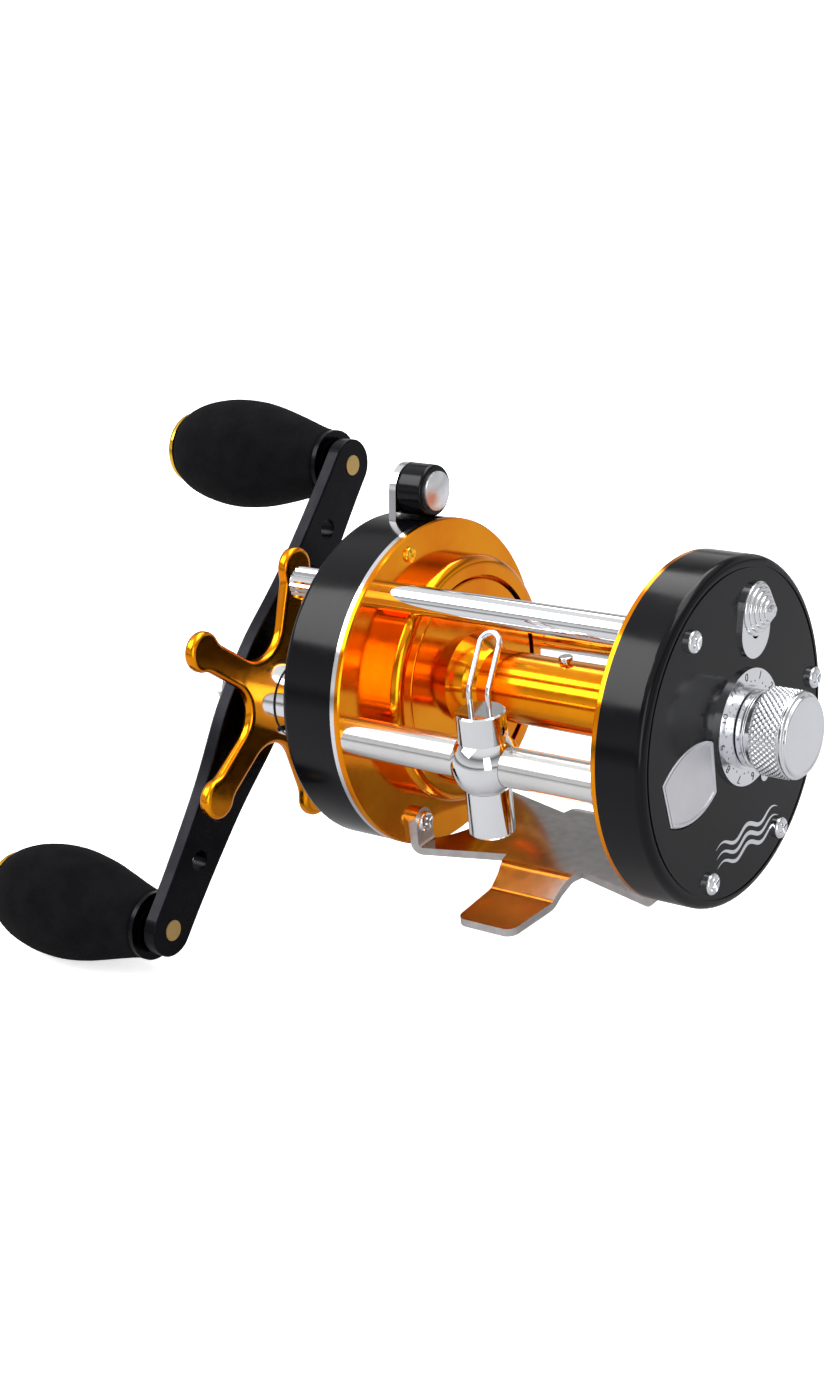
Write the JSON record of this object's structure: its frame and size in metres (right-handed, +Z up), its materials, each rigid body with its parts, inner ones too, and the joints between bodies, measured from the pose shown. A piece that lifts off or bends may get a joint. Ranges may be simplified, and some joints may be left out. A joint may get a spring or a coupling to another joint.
{
  "type": "trolling reel",
  "caption": "Round level-wind trolling reel with star drag, double handle with foam knobs, free-spool button, clicker, tension knob and a two-tongue foot.",
  "frame": {"origin": "on the rod under the middle of the foot, in the plane that the tongues rest on", "axes": "+X along the spool axis from the handle to the tension knob, +Y back towards the angler and the rod's butt, +Z up away from the rod"},
  "size_m": [0.1456, 0.087, 0.0888],
  "materials": {
    "amber_anodised": "polished amber anodised",
    "gloss_black": "gloss black lacquer",
    "black_anodised": "satin black anodised",
    "chrome": "bright plated",
    "satin_steel": "satin brushed",
    "stainless_sheet": "polished sheet with matt cut edges",
    "hardened_steel": "ground",
    "brass": "machined",
    "gold_trim": "gold anodised",
    "silver_trim": "silver anodised",
    "eva_foam": "matt closed-cell foam",
    "black_nylon": "moulded",
    "white_acetal": "moulded",
    "drag_fibre": "woven carbon fibre",
    "seal_rubber": "matt",
    "badge_silver": "satin with a bright raised border"
  },
  "bodies": {
    "frame": {"foot": "stainless_sheet", "body_screws": "chrome", "handle_side_plate": "amber_anodised", "tail_side_plate": "amber_anodised", "pillars": "chrome", "level_wind_tube": "satin_steel", "trim_ring": "silver_trim", "handle_side_cover": "gloss_black", "tail_side_cover": "gloss_black", "plate_screws": "gold_trim", "badge_plate": "badge_silver", "dial_plate": "silver_trim", "clicker_slot_plate": "chrome", "spool_bearings": "hardened_steel", "drive_shaft_bearings": "hardened_steel", "bearing_housing": "chrome", "one_way_bearing": "hardened_steel", "housing_seal": "seal_rubber", "worm_bushings": "black_nylon", "gear_posts": "hardened_steel", "yoke_springs": "hardened_steel", "brake_drum": "satin_steel", "takedown_screws": "chrome"},
    "spool_body": {"spool": "amber_anodised", "spool_shaft": "hardened_steel", "spool_drive_pin": "hardened_steel", "line_pin": "chrome", "brake_blocks": "white_acetal", "click_gear": "white_acetal"},
    "yoke": {"clutch_yoke": "black_nylon"},
    "pinion": {"pinion_gear": "brass"},
    "crank": {"drive_shaft": "hardened_steel", "drive_gear": "brass", "drag_washers": "drag_fibre", "level_wind_drive_gear": "white_acetal", "one_way_sleeve": "hardened_steel", "handle_arm": "black_anodised", "handle_nut": "chrome", "knob_spindles": "brass"},
    "star": {"star_drag": "amber_anodised", "star_hub": "silver_trim"},
    "upper_knob": {"upper_grip": "eva_foam", "upper_grip_collar": "black_anodised", "upper_grip_cap": "gold_trim"},
    "lower_knob": {"lower_grip": "eva_foam", "lower_grip_collar": "black_anodised", "lower_grip_cap": "gold_trim"},
    "worm": {"worm_shaft": "hardened_steel", "worm_gear": "white_acetal"},
    "idler": {"idler_gear": "white_acetal"},
    "guide": {"line_guide": "chrome", "guide_loop": "chrome", "level_wind_pawl": "hardened_steel", "pawl_cap": "chrome"},
    "button": {"free_spool_button": "gloss_black", "button_cap": "silver_trim", "button_lever": "silver_trim"},
    "clicker": {"clicker_button": "chrome", "click_pawl": "hardened_steel"},
    "tension": {"tension_knob": "silver_trim"}
  },
  "joints": [
    {"name": "crank_turn", "type": "hinge", "parent": "frame", "child": "crank", "pos_m": [0, -0.0109, 0.0282], "axis": [1, 0, 0], "continuous": true},
    {"name": "spool_spin", "type": "hinge", "parent": "frame", "child": "spool_body", "pos_m": [0, 0.00307, 0.031], "axis": [1, 0, 0], "continuous": true},
    {"name": "idler_spin", "type": "hinge", "parent": "frame", "child": "idler", "pos_m": [0, -0.0197, 0.02819], "axis": [1, 0, 0], "continuous": true},
    {"name": "worm_spin", "type": "hinge", "parent": "frame", "child": "worm", "pos_m": [0, -0.02589, 0.031], "axis": [1, 0, 0], "continuous": true},
    {"name": "clutch_shift", "type": "slide", "parent": "frame", "child": "yoke", "axis": [-1, 0, 0], "range_m": [0, 0.0013], "deforming": ["yoke_springs"]},
    {"name": "pinion_spin", "type": "hinge", "parent": "yoke", "child": "pinion", "pos_m": [0, 0.00307, 0.031], "axis": [1, 0, 0], "continuous": true},
    {"name": "star_turn", "type": "hinge", "parent": "crank", "child": "star", "pos_m": [0, -0.0109, 0.0282], "axis": [1, 0, 0], "range_deg": [-180, 180]},
    {"name": "upper_grip_spin", "type": "hinge", "parent": "crank", "child": "upper_knob", "pos_m": [0, 0.02187, 0.06189], "axis": [1, 0, 0], "continuous": true},
    {"name": "lower_grip_spin", "type": "hinge", "parent": "crank", "child": "lower_knob", "pos_m": [0, -0.04367, -0.00549], "axis": [1, 0, 0], "continuous": true},
    {"name": "line_guide_slide", "type": "slide", "parent": "frame", "child": "guide", "axis": [1, 0, 0], "range_m": [-0.0212, 0.0162]},
    {"name": "button_press", "type": "slide", "parent": "frame", "child": "button", "axis": [0, -0.1736, -0.9848], "range_m": [0, 0.0013], "stiffness_N_per_m": 300, "springref_m": -0.002},
    {"name": "clicker_slide", "type": "slide", "parent": "frame", "child": "clicker", "axis": [0, -0.2554, -0.9668], "range_m": [0, 0.0036]},
    {"name": "tension_knob_turn", "type": "hinge", "parent": "frame", "child": "tension", "pos_m": [0, 0.00307, 0.031], "axis": [1, 0, 0], "range_deg": [-180, 180]}
  ],
  "couplings": [
    {"joint": "spool_spin", "follows": "crank_turn", "ratio": -4.7},
    {"joint": "pinion_spin", "follows": "crank_turn", "ratio": -4.7},
    {"joint": "idler_spin", "follows": "crank_turn", "ratio": -0.83333},
    {"joint": "worm_spin", "follows": "crank_turn", "ratio": 2},
    {"joint": "clutch_shift", "follows": "button_press", "ratio": 1}
  ]
}
